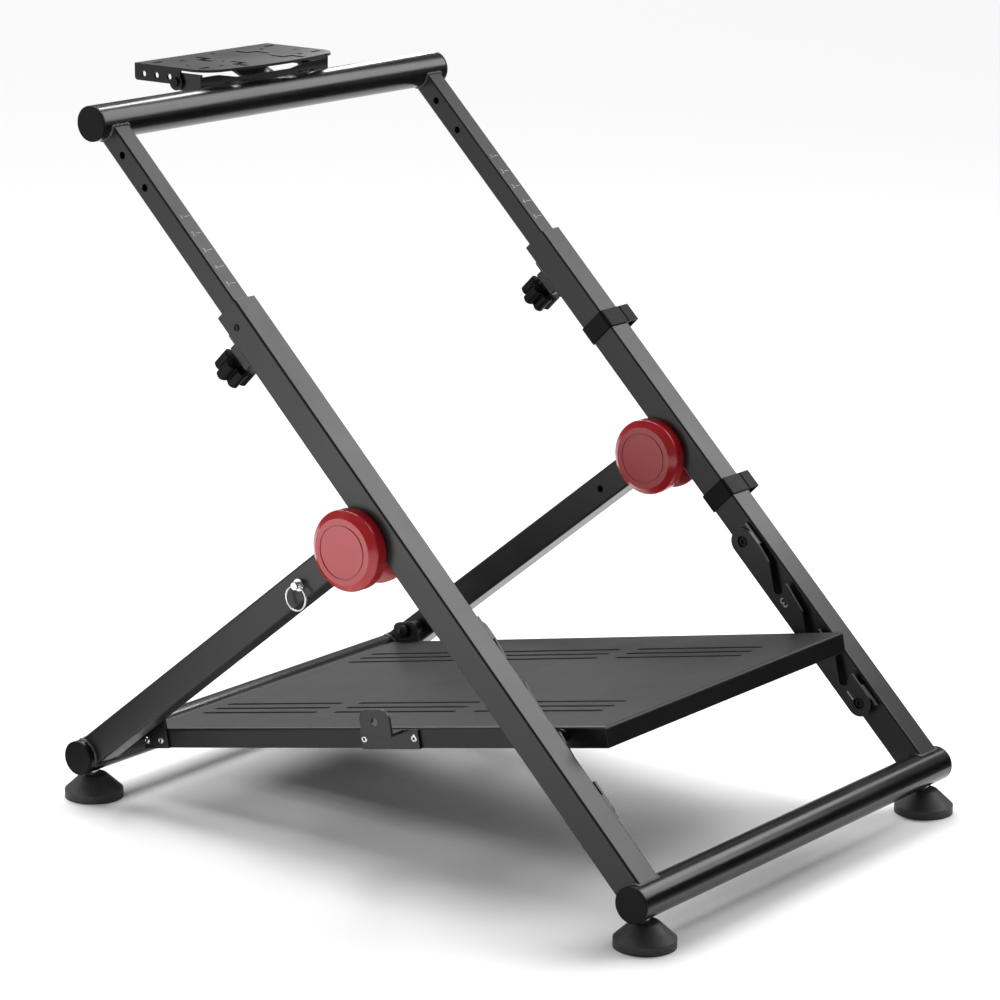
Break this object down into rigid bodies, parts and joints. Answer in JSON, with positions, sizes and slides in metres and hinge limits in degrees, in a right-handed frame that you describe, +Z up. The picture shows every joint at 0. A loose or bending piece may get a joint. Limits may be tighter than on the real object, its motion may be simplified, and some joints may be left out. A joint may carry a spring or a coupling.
{
  "type": "racing wheel stand",
  "caption": "Folding stand for a racing wheel and pedals: sloping square-tube legs on round bars, red hinge hubs, slotted pedal plate in notched strips, tilting wheel plate on top.",
  "frame": {"origin": "on the floor under the middle of the bounding box", "axes": "+Z up, +Y the way the driver looks (towards the front bar), +X the driver's right"},
  "size_m": [0.599, 0.837, 0.7846],
  "materials": {
    "black_powder_coat": "satin black powder coat",
    "red_moulding": "gloss red moulded plastic",
    "black_moulding": "matte black moulded plastic",
    "foot_rubber": "matte dark grey rubber",
    "dark_steel": "black-oxide steel",
    "bright_steel": "bright zinc-plated steel"
  },
  "bodies": {
    "main_frame": {"front_bar": "black_powder_coat", "front_bar_caps": "black_moulding", "front_foot_studs": "bright_steel", "guide_bushes": "black_moulding", "hinge_pins": "bright_steel", "knob_seats": "black_powder_coat", "lower_cable_clip": "black_moulding", "upper_cable_clip": "black_moulding", "right_main_leg": "black_powder_coat", "left_main_leg": "black_powder_coat", "right_front_foot": "foot_rubber", "left_front_foot": "foot_rubber", "right_notch_strip": "black_powder_coat", "left_notch_strip": "black_powder_coat", "right_hinge_outer_cover": "red_moulding", "left_hinge_outer_cover": "red_moulding", "right_hinge_inner_cover": "red_moulding", "left_hinge_inner_cover": "red_moulding"},
    "upper_frame": {"top_bar": "black_powder_coat", "top_bar_caps": "black_moulding", "wheel_bracket": "black_powder_coat", "tilt_bolts": "dark_steel", "right_inner_tube": "black_powder_coat", "left_inner_tube": "black_powder_coat"},
    "wheel_plate": {"wheel_plate": "black_powder_coat"},
    "rear_frame": {"rear_bar": "black_powder_coat", "rear_bar_caps": "black_moulding", "rear_foot_studs": "bright_steel", "pivot_bolts": "dark_steel", "right_rear_leg": "black_powder_coat", "left_rear_leg": "black_powder_coat", "right_rear_foot": "foot_rubber", "left_rear_foot": "foot_rubber"},
    "pedal_plate": {"pedal_plate": "black_powder_coat", "notch_pins": "dark_steel", "folding_ear": "black_powder_coat", "right_pivot_lug": "black_powder_coat", "left_pivot_lug": "black_powder_coat"},
    "pull_pin": {"pull_pin": "bright_steel"},
    "pull_ring": {"pull_ring": "bright_steel"},
    "right_knob": {"right_star_knob": "black_moulding"},
    "left_knob": {"left_star_knob": "black_moulding"}
  },
  "joints": [
    {"name": "height_slide", "type": "slide", "parent": "main_frame", "child": "upper_frame", "axis": [0, 0.7096, -0.7046], "range_m": [0, 0.11]},
    {"name": "wheel_tilt", "type": "hinge", "parent": "upper_frame", "child": "wheel_plate", "pos_m": [0, -0.35902, 0.76865], "axis": [1, 0, 0], "range_deg": [0, 20]},
    {"name": "rear_fold", "type": "hinge", "parent": "main_frame", "child": "rear_frame", "pos_m": [0, 0.02909, 0.34757], "axis": [1, 0, 0], "range_deg": [0, 88]},
    {"name": "pedal_plate_swing", "type": "hinge", "parent": "rear_frame", "child": "pedal_plate", "pos_m": [0, -0.30236, 0.08845], "axis": [1, 0, 0], "range_deg": [0, 27.59]},
    {"name": "right_knob_turn", "type": "hinge", "parent": "main_frame", "child": "right_knob", "pos_m": [0.264, -0.13765, 0.51316], "axis": [0, 0.7046, 0.7096], "continuous": true},
    {"name": "left_knob_turn", "type": "hinge", "parent": "main_frame", "child": "left_knob", "pos_m": [-0.264, -0.13765, 0.51316], "axis": [0, 0.7046, 0.7096], "continuous": true},
    {"name": "pin_pull", "type": "slide", "parent": "rear_frame", "child": "pull_pin", "axis": [1, 0, 0], "range_m": [0, 0.055]},
    {"name": "ring_swing", "type": "hinge", "parent": "pull_pin", "child": "pull_ring", "pos_m": [0.287, -0.04195, 0.29757], "axis": [0, -1, 0], "range_deg": [0, 90]}
  ],
  "couplings": [
    {"joint": "pedal_plate_swing", "follows": "rear_fold", "ratio": 0.31295}
  ]
}
